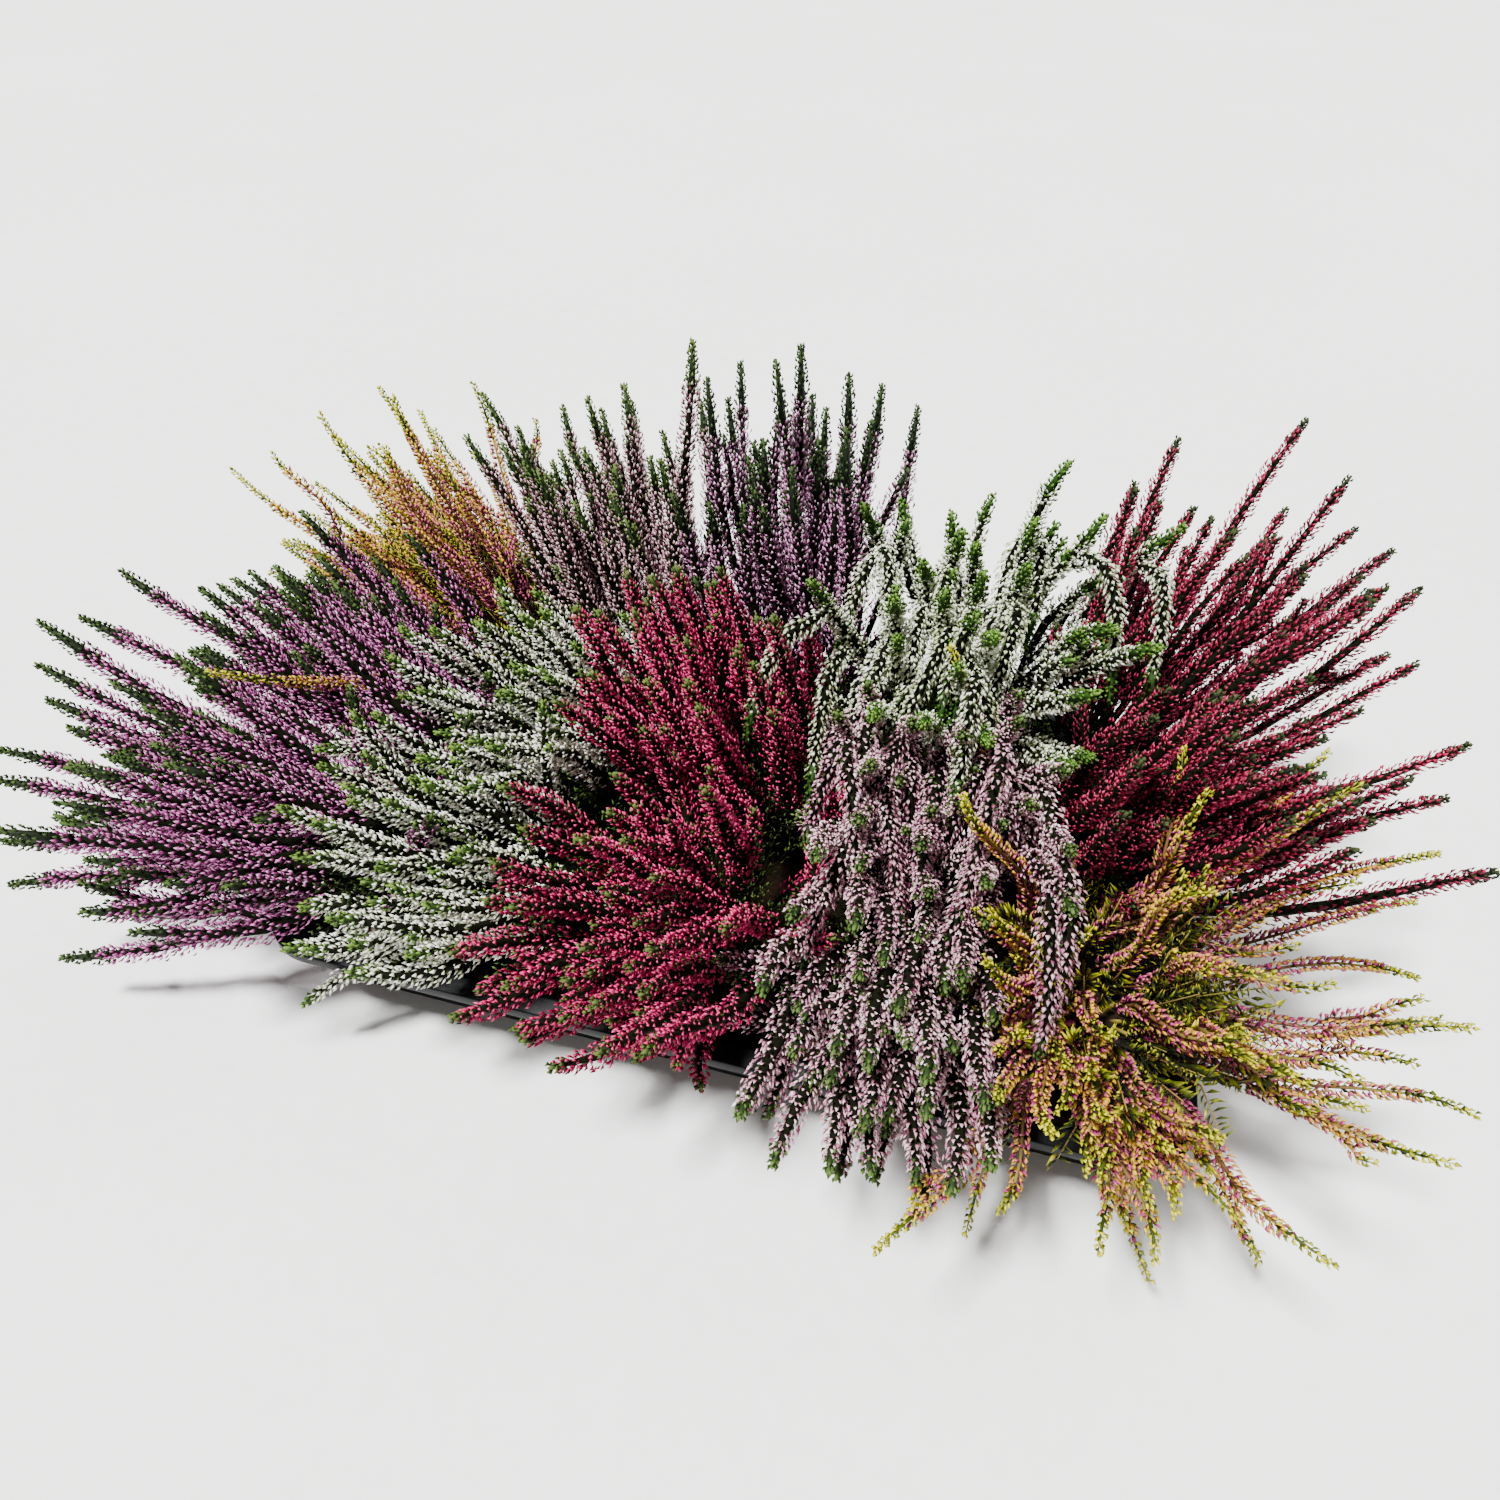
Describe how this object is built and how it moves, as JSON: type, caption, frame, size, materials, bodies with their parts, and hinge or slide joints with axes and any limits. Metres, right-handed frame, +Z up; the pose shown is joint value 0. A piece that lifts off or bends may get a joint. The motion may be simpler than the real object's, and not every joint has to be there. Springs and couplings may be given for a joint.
{
  "type": "potted heather",
  "caption": "Long low planter packed with bud-blooming heathers, whose slender flower spikes of several colours fan out over its rim.",
  "frame": {"origin": "middle of the planter's flat underside", "axes": "+Z up, +X along the planter's long side, +Y towards its back, away from the side that the tall spikes stand behind"},
  "size_m": [0.8552, 0.5276, 0.3458],
  "materials": {
    "planter": "satin",
    "compost": "matte",
    "purple": "matte",
    "white": "matte",
    "crimson": "matte",
    "dark_crimson": "matte",
    "pale_pink": "matte",
    "gold": "matte",
    "light_pink": "matte",
    "mauve": "matte",
    "white_green": "matte"
  },
  "bodies": {
    "root": {"planter": "planter", "compost": "compost", "heather_purple_front": "purple", "heather_white_front": "white", "heather_crimson_front": "crimson", "heather_pale_pink_front": "pale_pink", "heather_gold_front": "gold", "heather_purple_middle": "purple", "heather_white_middle": "white", "heather_crimson_middle": "crimson", "heather_pale_pink_middle": "pale_pink", "heather_dark_crimson_middle": "dark_crimson", "heather_gold_back": "gold", "heather_light_pink_back": "light_pink", "heather_mauve_back": "mauve", "heather_white_green_back": "white_green", "heather_dark_crimson_back": "dark_crimson"}
  },
  "joints": []
}
